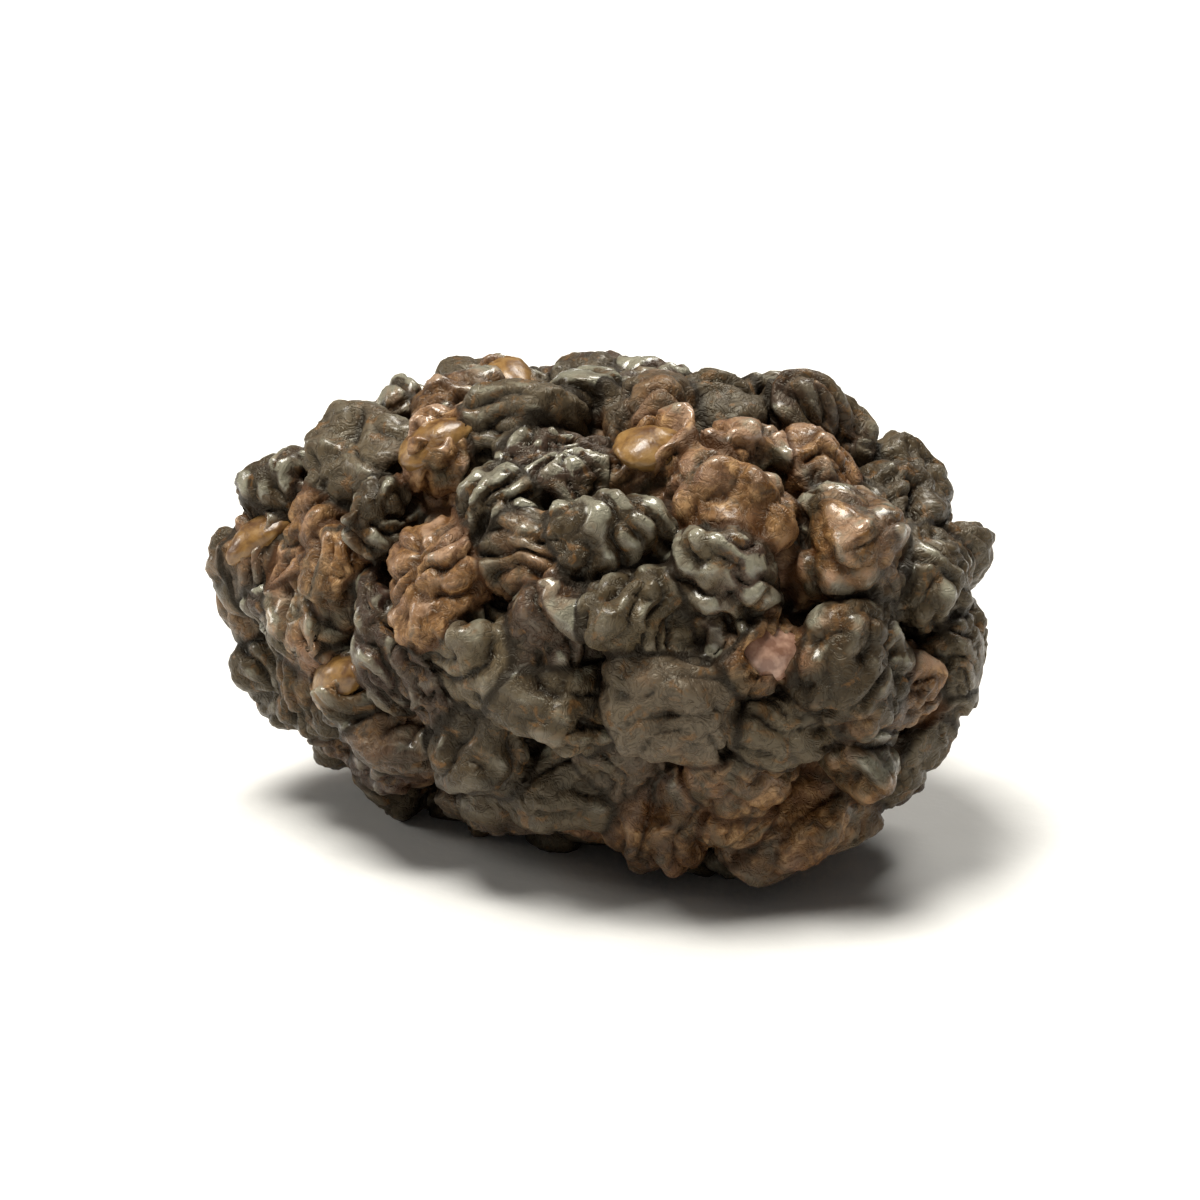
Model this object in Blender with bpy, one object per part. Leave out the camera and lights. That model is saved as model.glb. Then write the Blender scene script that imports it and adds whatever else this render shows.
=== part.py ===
"""A dried black mulberry: one fruit, with shrivelled drupelets grown all round a core, the stub of its stalk,
and a few seeds showing where a drupelet's skin has split.

Metres, +Z up. The origin is on the surface that the fruit lies on, under the middle of the fruit.
+X runs along the fruit, from its stalk end to its tip, and -Y is the side that is seen first.
"""

import math

import bmesh
import bpy
import numpy as np
from mathutils import Matrix

MM = 0.001

# The whole fruit, over its drupelets
FRUIT_LENGTH = 18.6 * MM
FRUIT_WIDTH = 12.8 * MM
FRUIT_HEIGHT = 11.3 * MM
TIP_FULLER = 0.14  # share by which the tip half is thicker than the middle, and the stalk half thinner
PRESSED_FLAT = 0.40 * MM  # how deep the lowest drupelets are flattened where the fruit lies

# Broad swells and hollows of the whole fruit: share of the half length from the middle to the tip, degrees
# round it from the seen side upwards, how far it swells out, and how wide the swell is in radians
SWELLS = (
    (0.50, -72, 0.80 * MM, 0.40),
    (0.30, -112, 0.50 * MM, 0.35),
    (-0.45, -80, 0.90 * MM, 0.40),
    (0.05, -55, -0.35 * MM, 0.20),
    (-0.60, 68, 0.60 * MM, 0.45),
    (-0.82, -40, 0.30 * MM, 0.40),
    (0.72, 55, -0.30 * MM, 0.40),
)

# The side that is seen first: degrees round from -Y towards +X, and degrees up
SEEN_FROM = (22, 18)

# The drupelets: each is a skin shrunk round one seed
DRUPELETS_STARTED = 116  # spread by the golden angle, before those that a landmark displaces are left out
DRUPELET_RADIUS = (1.02 * MM, 1.50 * MM)
DRUPELET_RISE = 0.98  # height over width of a drupelet, outwards from the core
DRUPELET_LEAN = 0.30  # how far each leans towards the tip of the fruit
LEAN_SCATTER = 0.15
DRAWN_OUT = (0.95, 1.35)  # how much longer than wide a drupelet is, where no landmark says it
LENGTHWAYS_SCATTER = 0.8  # how far its length strays from the fruit's length
SEAT_DEPTH = 1.12 * MM  # how deep the drupelets' middles lie under the fruit's outer size
SEAT_SCATTER = 0.40 * MM  # how unevenly drying has drawn the drupelets in
CORE_DEPTH = 0.40 * MM  # how deep the core's surface lies under the drupelets' middles
NEIGHBOUR_SPACING = 0.78  # distance of two neighbours over the sum of their radii
LANDMARK_CLEARANCE = 0.50  # the same for a drupelet that is left out because a landmark has its place
GAP_FILLED = 0.12 * MM  # a spot further than this from every drupelet gets one more
FILLER_OVERLAP = (0.70 * MM, 0.95 * MM)  # how far such a drupelet reaches into its neighbours
DENTS = 6  # hollows where a drupelet's skin has fallen in
DENT_PLACE = (15, 95)  # in degrees from the drupelet's outer end
DENT_DEPTH = (0.08, 0.40)  # as a share of the drupelet's radius
DENT_WIDTH = (0.32, 0.75)  # in radians, seen from the drupelet's middle

# The drupelets that give this fruit its face: millimetres right and up of its middle as it is seen first,
# radius in millimetres, how drawn out it is along its own length, and degrees from the right to its length
LANDMARKS = (
    (1.7, -2.9, 1.38, 1.20, 160),
    (6.1, -1.9, 1.52, 1.00, 0),
    (4.5, -5.5, 1.35, 1.60, 172),
    (4.5, -3.7, 1.10, 1.30, 165),
    (8.5, -1.6, 1.05, 1.05, 90),
    (7.2, -4.1, 1.15, 1.35, 40),
    (6.1, 1.2, 1.60, 1.00, 30),
    (0.3, -4.6, 1.05, 1.10, 90),
    (-3.0, -4.0, 1.40, 1.10, 20),
    (-4.2, -2.5, 1.00, 1.25, 80),
    (-5.5, -1.4, 1.00, 1.60, 100),
    (-7.0, -2.6, 1.10, 1.10, 120),
    (-6.6, 0.6, 1.15, 1.05, 90),
    (-4.0, 0.3, 1.35, 1.20, 85),
    (-8.5, -0.2, 1.00, 1.25, 100),
    (-1.1, -0.9, 1.25, 1.15, 70),
    (0.1, 1.5, 1.35, 1.20, 10),
    (2.8, 0.2, 1.30, 1.15, 100),
    (-0.5, 5.2, 1.20, 1.10, 0),
    (1.9, 5.6, 1.15, 1.20, 0),
    (3.5, 3.7, 1.15, 1.00, 0),
    (5.6, 3.4, 1.15, 1.10, 130),
    (1.3, 3.5, 1.05, 1.00, 0),
    (-1.1, 3.3, 1.10, 1.20, 160),
    (-2.5, 2.1, 1.00, 1.10, 60),
    (-3.7, 3.5, 1.20, 1.00, 0),
    (-5.3, 5.0, 1.15, 1.10, 30),
    (-7.3, 2.9, 1.25, 1.10, 50),
    (-5.4, 1.9, 1.00, 1.10, 90),
    (3.8, -1.7, 1.00, 1.00, 0),
)

# The stalk leaves the fruit a little to the back of its end, from a hollow among the drupelets
STALK_TOWARDS = (-0.88, 0.42, 0.20)
STALK_RADIUS = 0.55 * MM
STALK_LENGTH = 1.5 * MM  # of the stub that stands out of the core
STALK_ROOM = 1.05 * MM  # radius of the hollow that the drupelets leave round it
STALK_SAG = 0.35 * MM  # how far its end hangs down
STALK_STATIONS = ((0.0, 1.25), (0.45, 1.0), (0.75, 0.85), (1.0, 1.05))  # shares of its length and radius
STALK_SIDES = 8

# Seeds that a split skin shows: on the seen side by millimetres right and up of the middle, others by chance
SEED_SPOTS = ((1.4, 3.6), (-6.8, -1.4), (3.8, -1.6), (-3.8, 3.5), (-8.2, 1.9))
HIDDEN_SEEDS = 7
HIDDEN_SEEDS_TOWARDS = (0.0, 1.2, 0.3)
SEED_LENGTH = 1.9 * MM
SEED_WIDTH = 1.35 * MM
SEED_THICKNESS = 0.9 * MM
SEED_TAPER = 0.35  # how much narrower its pointed end is
SEED_PROUD = 0.24 * MM  # how far a seed stands out of its skin

# Faces of one drupelet: degrees from its outer end for each ring of corners, and corners to a ring
SMALL_RINGS = (37, 76)
LARGE_RINGS = (30, 60, 92)
LARGE_FROM = 1.34 * MM  # drupelets of this radius and more have the large ones' rings
DRUPELET_SIDES = 7
SEED_RINGS = (50, 90, 130)
SEED_SIDES = 8
CORE_RINGS = tuple(range(20, 180, 20))
CORE_SIDES = 14

# How finely the places are worked out
GIRTH_ROUNDS = 5
HALVINGS = 40
SETTLING_ROUNDS = 60
GAP_TRIALS = 1500  # spots where a gap is looked for
FIRST_TURN = 0.1  # in radians, for the search of how the fruit lies
FINEST_TURN = 0.0001

SEED_OF_CHANCE = 27
GOLDEN_ANGLE = math.pi * (3 - math.sqrt(5))

SKIN_COLOUR = (0.075, 0.056, 0.034, 1.0)
SKIN_ROUGHNESS = 0.42
SHARP_FROM = 50  # degrees between two faces from which their edge is drawn sharp


def clear_scene():
    for thing in list(bpy.data.objects):
        bpy.data.objects.remove(thing, do_unlink=True)


def unit(vectors):
    return vectors / np.linalg.norm(vectors, axis=-1, keepdims=True)


def body_axes(depth=SEAT_DEPTH):
    """Half sizes of the egg-shaped surface at this depth; the drupelets' middles lie on that at their own."""
    return np.array([FRUIT_LENGTH, FRUIT_WIDTH, FRUIT_HEIGHT]) / 2 - depth


def around_axis(along, degrees):
    """Unit directions this far along the fruit, as a share of its half length, and this far round it."""
    along, turn = np.asarray(along), np.radians(degrees)
    ring = np.sqrt(1 - along**2)
    return np.stack([along, -ring * np.cos(turn), ring * np.sin(turn)], axis=-1)


def girths(directions):
    """Factors by which the egg is thicker at the tip and thinner at the stalk, for x, y and z."""
    girth = 1 + TIP_FULLER * directions[:, :1]
    return np.hstack([np.ones_like(girth), girth, girth])


def on_body(directions):
    """The points of the seat surface towards these unit directions from the fruit's middle."""
    swelling = np.zeros(len(directions))
    for along, degrees, height, width in SWELLS:
        angle = np.arccos(np.clip(directions @ around_axis(along, degrees), -1, 1))
        swelling += height * np.exp(-((angle / width) ** 2))
    points = directions * body_axes() * girths(directions)
    return points * (1 + swelling / np.linalg.norm(points, axis=1))[:, None]


def towards(points, depth=SEAT_DEPTH):
    """The unit directions that lead to these points on the egg-shaped surface at this depth."""
    directions = unit(points / body_axes(depth))
    for _ in range(GIRTH_ROUNDS):
        directions = unit(points / body_axes(depth) / girths(directions))
    return directions


def seen_axes():
    """Right, up, and towards the onlooker, from the side that is seen first."""
    azimuth, elevation = np.radians(SEEN_FROM)
    right = np.array([math.cos(azimuth), math.sin(azimuth), 0.0])
    back = np.array([math.sin(azimuth) * math.cos(elevation), -math.cos(azimuth) * math.cos(elevation),
                     math.sin(elevation)])
    return right, np.cross(back, right), back


def seen_directions(spots):
    """Directions of the spots that are seen this far right and up of the fruit's middle, in millimetres."""
    right, up, back = seen_axes()
    flat = MM * (np.outer(spots[:, 0], right) + np.outer(spots[:, 1], up))
    near, far = np.zeros((len(flat), 1)), np.full((len(flat), 1), FRUIT_LENGTH)
    for _ in range(HALVINGS):
        points = flat + (near + far) / 2 * back
        inside = np.linalg.norm(points / body_axes(0) / girths(towards(points, 0)), axis=1, keepdims=True) < 1
        near, far = np.where(inside, (near + far) / 2, near), np.where(inside, far, (near + far) / 2)
    return towards(flat + near * back, 0)


def golden_directions(count):
    """Unit directions spread from the stalk end to the tip, each the golden angle round from the last."""
    step = np.arange(count)
    return around_axis(2 * (step + 0.5) / count - 1, np.degrees(step * GOLDEN_ANGLE))


def settled(directions, radii, held):
    """Pushes crowded seats apart along the body. The first ones, as many as held, stay where they are."""
    for _ in range(SETTLING_ROUNDS):
        points = on_body(directions)
        apart = points[:, None] - points[None, :]
        distance = np.linalg.norm(apart, axis=2) + np.eye(len(points))
        wanted = NEIGHBOUR_SPACING * (radii[:, None] + radii[None, :])
        push = np.clip(wanted - distance, 0, None) / distance
        np.fill_diagonal(push, 0)
        move = (apart * push[..., None]).sum(axis=1) / 2
        move[:held] = 0
        directions = towards(points + move)
    return directions


def gap_fillers(directions, radii, chance):
    """Directions and radii of drupelets that close the gaps between these, the widest gap first."""
    trials = golden_directions(GAP_TRIALS)
    points = on_body(trials)
    distance = (np.linalg.norm(points[:, None] - on_body(directions)[None, :], axis=2) - radii).min(axis=1)
    added, added_radii = [], []
    while distance.max() > GAP_FILLED:
        widest = distance.argmax()
        radius = np.clip(distance[widest] + chance.uniform(*FILLER_OVERLAP), *DRUPELET_RADIUS)
        added.append(trials[widest])
        added_radii.append(radius)
        distance = np.minimum(distance, np.linalg.norm(points - points[widest], axis=1) - radius)
    return np.array(added).reshape(-1, 3), np.array(added_radii)


def drupelet_seats(chance):
    """Directions, radii, lengths and lengthwise vectors of all drupelets, clear of the stalk's hollow."""
    marks = np.array(LANDMARKS)
    right, up, _ = seen_axes()
    turns = np.radians(marks[:, 4])
    held = np.vstack([unit(np.array([STALK_TOWARDS])), seen_directions(marks)])
    held_radii = np.concatenate([[STALK_ROOM], marks[:, 2] * MM])

    others = golden_directions(DRUPELETS_STARTED)
    other_radii = chance.uniform(*DRUPELET_RADIUS, size=len(others))
    distance = np.linalg.norm(on_body(others)[:, None] - on_body(held)[None, :], axis=2)
    free = (distance > LANDMARK_CLEARANCE * (other_radii[:, None] + held_radii[None, :])).all(axis=1)

    radii = np.concatenate([held_radii, other_radii[free]])
    directions = settled(np.vstack([held, others[free]]), radii, len(held))
    fillers, filler_radii = gap_fillers(directions, radii, chance)
    directions, radii = np.vstack([directions[1:], fillers]), np.concatenate([radii[1:], filler_radii])

    unmarked = len(directions) - len(marks)
    lengths = np.concatenate([marks[:, 3], chance.uniform(*DRAWN_OUT, size=unmarked)])
    tip = np.array([1.0, 0.0, 0.0])
    longways = np.vstack([np.outer(np.cos(turns), right) + np.outer(np.sin(turns), up),
                          tip + chance.normal(0, LENGTHWAYS_SCATTER, size=(unmarked, 3))])
    return directions, radii, lengths, longways


def outward(directions):
    """Unit normals of the seat surface."""
    return unit(on_body(directions) / body_axes() ** 2)


class Drupelet:
    """One shrivelled drupelet: an egg-shaped lump with dents, leaning towards the tip of the fruit."""

    def __init__(self, seat, normal, radius, length, longways, chance):
        tip = np.array([1.0, 0.0, 0.0])
        lean = DRUPELET_LEAN * (tip - normal * normal[0]) + chance.normal(0, LEAN_SCATTER, 3)
        self.out = unit(normal + lean)
        self.across = unit(np.cross(longways, self.out))
        self.long = np.cross(self.out, self.across)
        self.sizes = radius * np.array([1 / math.sqrt(length), length, DRUPELET_RISE])
        self.middle = seat - normal * chance.uniform(-0.5, 0.5) * SEAT_SCATTER
        away = np.radians(chance.uniform(*DENT_PLACE, DENTS))
        around = chance.uniform(0, math.tau, DENTS)
        ring = np.sin(away)
        self.dents = np.stack([ring * np.cos(around), ring * np.sin(around), np.cos(away)], axis=1)
        self.dent_depths = chance.uniform(*DENT_DEPTH, DENTS)
        self.dent_widths = chance.uniform(*DENT_WIDTH, DENTS)

    def reach(self, directions):
        """How far the dented skin lies from the middle, as a share of its size, towards local directions."""
        angle = np.arccos(np.clip(directions @ self.dents.T, -1, 1))
        return (1 - self.dent_depths * np.exp(-((angle / self.dent_widths) ** 2))).prod(axis=1)

    def skin(self, directions):
        """Points of the skin towards local unit directions: across, along, and out."""
        local = directions * self.reach(directions)[:, None] * self.sizes
        return self.middle + local @ np.stack([self.across, self.long, self.out])


def globe_directions(rings, sides, turn=0.0):
    """Unit directions of a globe's corners: its outer pole, its rings, and its inner pole."""
    rows = [np.array([[0.0, 0.0, 1.0]])]
    for k, degrees in enumerate(rings):
        around = turn + (np.arange(sides) + 0.5 * (k % 2)) * math.tau / sides
        away = math.radians(degrees)
        ring = np.stack([np.sin(away) * np.cos(around), np.sin(away) * np.sin(around)], axis=1)
        rows.append(np.hstack([ring, np.full((sides, 1), math.cos(away))]))
    rows.append(np.array([[0.0, 0.0, -1.0]]))
    return np.vstack(rows)


def globe_faces(ring_count, sides):
    """Triangles of a globe whose every second ring is turned by half a side."""
    faces = []
    last = 1 + ring_count * sides
    for s in range(sides):
        after = (s + 1) % sides
        faces.append((0, 1 + s, 1 + after))
        for k in range(ring_count - 1):
            a, b = 1 + k * sides + s, 1 + k * sides + after
            c, d = a + sides, b + sides
            faces += [(a, c, b), (b, c, d)] if k % 2 == 0 else [(a, c, d), (a, d, b)]
        bottom = 1 + (ring_count - 1) * sides
        faces.append((bottom + s, last, bottom + after))
    return faces


def solid_object(name, points, faces, collection):
    mesh = bpy.data.meshes.new(name)
    mesh.from_pydata([tuple(p) for p in points], [], faces)
    mesh.update()
    thing = bpy.data.objects.new(name, mesh)
    collection.objects.link(thing)
    return thing


def add_seed(drupelet, spot, name, collection):
    """A flat, pointed seed that lies in the drupelet's skin under this spot and stands a little proud."""
    frame = np.stack([drupelet.across, drupelet.long, drupelet.out])
    surface = drupelet.skin(unit(frame @ (spot - drupelet.middle) / drupelet.sizes)[None, :])[0]
    out = unit(surface - drupelet.middle)
    across = unit(np.cross(out, drupelet.long))
    along = np.cross(across, out)
    half = np.array([SEED_WIDTH, SEED_LENGTH, SEED_THICKNESS]) / 2
    shape = globe_directions(SEED_RINGS, SEED_SIDES) * half
    shape[:, 0] *= 1 - SEED_TAPER * shape[:, 1] / half[1]
    middle = surface - out * (half[2] - SEED_PROUD)
    points = middle + shape @ np.stack([across, along, out])
    solid_object(name, points, globe_faces(len(SEED_RINGS), SEED_SIDES), collection)


def seed_spots(chance):
    """Points above the skin where a seed shows."""
    hidden = unit(chance.normal(size=(HIDDEN_SEEDS, 3)) + HIDDEN_SEEDS_TOWARDS)
    directions = np.vstack([seen_directions(np.array(SEED_SPOTS)), hidden])
    return on_body(directions) + SEAT_DEPTH * outward(directions)


def add_stalk(collection):
    """The stalk's stub: a bent, tapering rod with its root sunk in the core."""
    out = unit(np.array(STALK_TOWARDS))
    root = on_body(out[None, :])[0] - out * 3 * STALK_RADIUS
    side = unit(np.cross(out, [0.0, 0.0, 1.0]))
    over = np.cross(side, out)
    length = 3 * STALK_RADIUS + STALK_LENGTH
    points, faces = [], []
    for share, girth in STALK_STATIONS:
        middle = root + out * length * share - over * STALK_SAG * share**2
        for s in range(STALK_SIDES):
            turn = s * math.tau / STALK_SIDES
            points.append(middle + STALK_RADIUS * girth * (math.cos(turn) * side + math.sin(turn) * over))
    for k in range(len(STALK_STATIONS) - 1):
        for s in range(STALK_SIDES):
            after = (s + 1) % STALK_SIDES
            a, b = k * STALK_SIDES + s, k * STALK_SIDES + after
            faces.append((a, b, b + STALK_SIDES, a + STALK_SIDES))
    faces.append(tuple(reversed(range(STALK_SIDES))))
    faces.append(tuple(range(len(points) - STALK_SIDES, len(points))))
    solid_object("stalk_shape", points, faces, collection)


def add_core(collection):
    """The core that the drupelets grew from: it fills the fruit under them."""
    directions = globe_directions(CORE_RINGS, CORE_SIDES)
    turned = np.stack([directions[:, 2], directions[:, 0], directions[:, 1]], axis=1)
    shrink = 1 - CORE_DEPTH / body_axes().min()
    faces = globe_faces(len(CORE_RINGS), CORE_SIDES)
    return solid_object("fruit", on_body(turned) * shrink, faces, collection)


def grown_together(core, collection):
    """The core's mesh once everything in the collection has been joined to it."""
    union = core.modifiers.new("grown_together", "BOOLEAN")
    union.operand_type = "COLLECTION"
    union.collection = collection
    union.operation = "UNION"
    union.solver = "EXACT"
    graph = bpy.context.evaluated_depsgraph_get()
    mesh = bpy.data.meshes.new_from_object(core.evaluated_get(graph))
    core.modifiers.clear()
    return mesh


def keep_outer_skin(shape):
    """Fills hollows that the joining sealed, by dropping every surface but the outermost."""
    waiting, pieces = set(shape.verts), []
    while waiting:
        piece, front = set(), [waiting.pop()]
        while front:
            corner = front.pop()
            piece.add(corner)
            near = {edge.other_vert(corner) for edge in corner.link_edges} & waiting
            waiting -= near
            front += near
        pieces.append(piece)
    pieces.sort(key=len)
    for piece in pieces[:-1]:
        bmesh.ops.delete(shape, geom=list(piece), context="VERTS")


def resting_up(corners):
    """The direction that is up when the fruit lies still, with its middle as low as it can be."""
    about_middle = corners - corners.mean(axis=0)

    def height(up):
        return -(about_middle @ up).min()

    up, step = np.array([0.0, 0.0, 1.0]), FIRST_TURN
    while step > FINEST_TURN:
        trials = unit(up + step * np.array([[1, 0, 0], [-1, 0, 0], [0, 1, 0], [0, -1, 0]]))
        lowest = min(trials, key=height)
        if height(lowest) < height(up):
            up = lowest
        else:
            step /= 2
    return up


def laid_down(corners):
    """The turn and the shift that lay the fruit on its lowest points, with the origin under its middle."""
    up = resting_up(corners)
    over = unit(np.cross(up, [1.0, 0.0, 0.0]))
    turn = np.stack([np.cross(over, up), over, up])
    turned = corners @ turn.T
    shift = -(turned.min(axis=0) + turned.max(axis=0)) / 2
    shift[2] = -turned[:, 2].min() - PRESSED_FLAT
    return turn, shift


def press_flat(shape):
    """Cuts the lowest drupelets flat where they lie pressed on the surface under the fruit."""
    everything = list(shape.verts) + list(shape.edges) + list(shape.faces)
    bmesh.ops.bisect_plane(shape, geom=everything, plane_co=(0, 0, 0), plane_no=(0, 0, -1), clear_outer=True)
    rim = [edge for edge in shape.edges if edge.is_boundary]
    bmesh.ops.holes_fill(shape, edges=rim, sides=0)


def skin_material():
    material = bpy.data.materials.new("dried_skin")
    material.use_nodes = True
    shader = material.node_tree.nodes["Principled BSDF"]
    shader.inputs["Base Color"].default_value = SKIN_COLOUR
    shader.inputs["Roughness"].default_value = SKIN_ROUGHNESS
    shader.inputs["Metallic"].default_value = 0.0
    return material


def build_fruit():
    chance = np.random.default_rng(SEED_OF_CHANCE)
    directions, radii, lengths, longways = drupelet_seats(chance)
    grown = bpy.data.collections.new("grown_from_core")
    bpy.context.scene.collection.children.link(grown)

    seats, normals = on_body(directions), outward(directions)
    drupelets = [Drupelet(*row, chance) for row in zip(seats, normals, radii, lengths, longways)]
    middles = np.array([drupelet.middle for drupelet in drupelets])
    corners = []
    for k, drupelet in enumerate(drupelets):
        rings = LARGE_RINGS if radii[k] >= LARGE_FROM else SMALL_RINGS
        globe = globe_directions(rings, DRUPELET_SIDES, turn=chance.uniform(0, math.tau))
        corners.append(drupelet.skin(globe))
        solid_object(f"drupelet_{k:03d}", corners[k], globe_faces(len(rings), DRUPELET_SIDES), grown)
    turn, shift = laid_down(np.vstack(corners))
    for k, spot in enumerate(seed_spots(chance)):
        nearest = np.linalg.norm(middles - spot, axis=1).argmin()
        add_seed(drupelets[nearest], spot, f"seed_{k:02d}", grown)
    add_stalk(grown)

    fruit = add_core(bpy.context.scene.collection)
    fruit.data = grown_together(fruit, grown)
    for thing in list(grown.objects):
        bpy.data.objects.remove(thing, do_unlink=True)
    bpy.data.collections.remove(grown)

    shape = bmesh.new()
    shape.from_mesh(fruit.data)
    keep_outer_skin(shape)
    shape.transform(Matrix.Translation(shift) @ Matrix(turn).to_4x4())
    press_flat(shape)
    bmesh.ops.triangulate(shape, faces=shape.faces)
    shape.to_mesh(fruit.data)
    shape.free()
    fruit.data.shade_smooth()
    fruit.data.set_sharp_from_angle(angle=math.radians(SHARP_FROM))
    fruit.data.materials.append(skin_material())
    fruit.data.name = "fruit"


clear_scene()
build_fruit()
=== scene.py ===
"""The looks of a dried black mulberry: the fine, wrinkled skin of its drupelets, its seeds and its stalk.

Everything is in metres in the frame's own axes. The drupelets follow the same rule as the frame's solid, so
the fine skin lies where the solid is. The skin is shaped in millimetres and then scaled.
"""

import math

import bmesh
import bpy
import numpy as np
from mathutils import Matrix, Vector


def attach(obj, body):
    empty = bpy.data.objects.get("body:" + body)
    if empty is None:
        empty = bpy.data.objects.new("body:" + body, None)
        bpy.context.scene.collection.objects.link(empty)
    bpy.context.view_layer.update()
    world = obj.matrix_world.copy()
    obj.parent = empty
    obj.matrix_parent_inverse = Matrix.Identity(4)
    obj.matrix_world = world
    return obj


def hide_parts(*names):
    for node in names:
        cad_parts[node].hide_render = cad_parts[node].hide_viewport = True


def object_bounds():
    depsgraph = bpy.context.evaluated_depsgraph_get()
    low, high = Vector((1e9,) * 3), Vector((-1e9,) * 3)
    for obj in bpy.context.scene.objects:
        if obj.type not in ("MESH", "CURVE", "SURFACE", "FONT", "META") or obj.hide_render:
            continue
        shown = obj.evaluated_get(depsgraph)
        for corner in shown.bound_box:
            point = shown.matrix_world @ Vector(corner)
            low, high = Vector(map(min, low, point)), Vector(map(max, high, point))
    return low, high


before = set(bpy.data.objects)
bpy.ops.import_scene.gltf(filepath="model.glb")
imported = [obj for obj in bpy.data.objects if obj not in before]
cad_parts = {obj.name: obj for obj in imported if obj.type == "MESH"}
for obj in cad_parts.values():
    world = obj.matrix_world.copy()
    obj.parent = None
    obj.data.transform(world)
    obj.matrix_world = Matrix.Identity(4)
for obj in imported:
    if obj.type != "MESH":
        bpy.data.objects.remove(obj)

CAD_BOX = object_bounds()
BODY = "root"
NODE = "fruit"
MM = 0.001

# The whole fruit, over its drupelets, as in the solid
FRUIT_LENGTH = 18.6 * MM
FRUIT_WIDTH = 12.8 * MM
FRUIT_HEIGHT = 11.3 * MM
TIP_FULLER = 0.14
PRESSED_FLAT = 0.40 * MM
SWELLS = (
    (0.50, -72, 0.80 * MM, 0.40),
    (0.30, -112, 0.50 * MM, 0.35),
    (-0.45, -80, 0.90 * MM, 0.40),
    (0.05, -55, -0.35 * MM, 0.20),
    (-0.60, 68, 0.60 * MM, 0.45),
    (-0.82, -40, 0.30 * MM, 0.40),
    (0.72, 55, -0.30 * MM, 0.40),
)
SEEN_FROM = (22, 18)

# The drupelets, as in the solid
DRUPELETS_STARTED = 116
DRUPELET_RADIUS = (1.02 * MM, 1.50 * MM)
DRUPELET_RISE = 0.98
DRUPELET_LEAN = 0.30
LEAN_SCATTER = 0.15
DRAWN_OUT = (0.95, 1.35)
LENGTHWAYS_SCATTER = 0.8
SEAT_DEPTH = 1.12 * MM
SEAT_SCATTER = 0.40 * MM
CORE_DEPTH = 0.40 * MM
NEIGHBOUR_SPACING = 0.78
LANDMARK_CLEARANCE = 0.50
GAP_FILLED = 0.12 * MM
FILLER_OVERLAP = (0.70 * MM, 0.95 * MM)
DENTS = 6
DENT_PLACE = (15, 95)
DENT_DEPTH = (0.08, 0.40)
DENT_WIDTH = (0.32, 0.75)

# The drupelets of the fruit's face: millimetres right and up, radius in millimetres, drawn out, and degrees
# turned, as in the solid. For the looks alone, from 0 to 1: how rusty, how smooth, and how pale on its
# crests, part a dry bloom and part painted sheen, which also sets how much they glint
LANDMARKS = (
    (1.7, -2.9, 1.38, 1.20, 160, 0.20, 0.70, 0.10),
    (6.1, -1.9, 1.52, 1.00, 0, 0.30, 0.15, 0.45),
    (4.5, -5.5, 1.35, 1.60, 172, 0.45, 0.45, 0.15),
    (4.5, -3.7, 1.10, 1.30, 165, 0.15, 0.50, 0.15),
    (8.5, -1.6, 1.05, 1.05, 90, 0.15, 0.25, 0.30),
    (7.2, -4.1, 1.15, 1.35, 40, 0.20, 0.35, 0.20),
    (6.1, 1.2, 1.60, 1.00, 30, 0.45, 0.15, 0.75),
    (0.3, -4.6, 1.05, 1.10, 90, 0.20, 0.40, 0.10),
    (-3.0, -4.0, 1.40, 1.10, 20, 0.05, 0.10, 0.35),
    (-4.2, -2.5, 1.00, 1.25, 80, 0.10, 0.15, 0.45),
    (-5.5, -1.4, 1.00, 1.60, 100, 0.10, 0.05, 0.60),
    (-7.0, -2.6, 1.10, 1.10, 120, 0.35, 0.10, 0.30),
    (-6.6, 0.6, 1.15, 1.05, 90, 0.50, 0.25, 0.25),
    (-4.0, 0.3, 1.35, 1.20, 85, 0.95, 0.15, 0.55),
    (-8.5, -0.2, 1.00, 1.25, 100, 0.05, 0.10, 0.90),
    (-1.1, -0.9, 1.25, 1.15, 70, 0.30, 0.20, 0.75),
    (0.1, 1.5, 1.35, 1.20, 10, 0.05, 0.05, 1.00),
    (2.8, 0.2, 1.30, 1.15, 100, 0.05, 0.10, 1.00),
    (-0.5, 5.2, 1.20, 1.10, 0, 0.10, 0.10, 1.00),
    (1.9, 5.6, 1.15, 1.20, 0, 0.10, 0.10, 0.85),
    (3.5, 3.7, 1.15, 1.00, 0, 0.55, 0.10, 0.85),
    (5.6, 3.4, 1.15, 1.10, 130, 0.95, 0.15, 0.60),
    (1.3, 3.5, 1.05, 1.00, 0, 0.75, 0.15, 0.90),
    (-1.1, 3.3, 1.10, 1.20, 160, 0.10, 0.15, 1.00),
    (-2.5, 2.1, 1.00, 1.10, 60, 0.05, 0.05, 1.00),
    (-3.7, 3.5, 1.20, 1.00, 0, 0.95, 0.10, 0.75),
    (-5.3, 5.0, 1.15, 1.10, 30, 0.30, 0.10, 0.80),
    (-7.3, 2.9, 1.25, 1.10, 50, 0.05, 0.10, 0.90),
    (-5.4, 1.9, 1.00, 1.10, 90, 0.20, 0.10, 0.50),
    (3.8, -1.7, 1.00, 1.00, 0, 0.50, 0.15, 0.30),
)

# The same three for the other drupelets, for the looks alone: a beta spread for the rust, and two ranges
RUST_ELSEWHERE = (1.1, 2.4)
SMOOTH_ELSEWHERE = (0, 0.45)
BLOOM_AND_SHEEN_ELSEWHERE = (0.1, 0.7)

# The stalk, as in the solid
STALK_TOWARDS = (-0.88, 0.42, 0.20)
STALK_RADIUS = 0.55 * MM
STALK_LENGTH = 1.5 * MM
STALK_ROOT = 3 * STALK_RADIUS
STALK_ROOM = 1.05 * MM
STALK_SAG = 0.35 * MM

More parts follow.
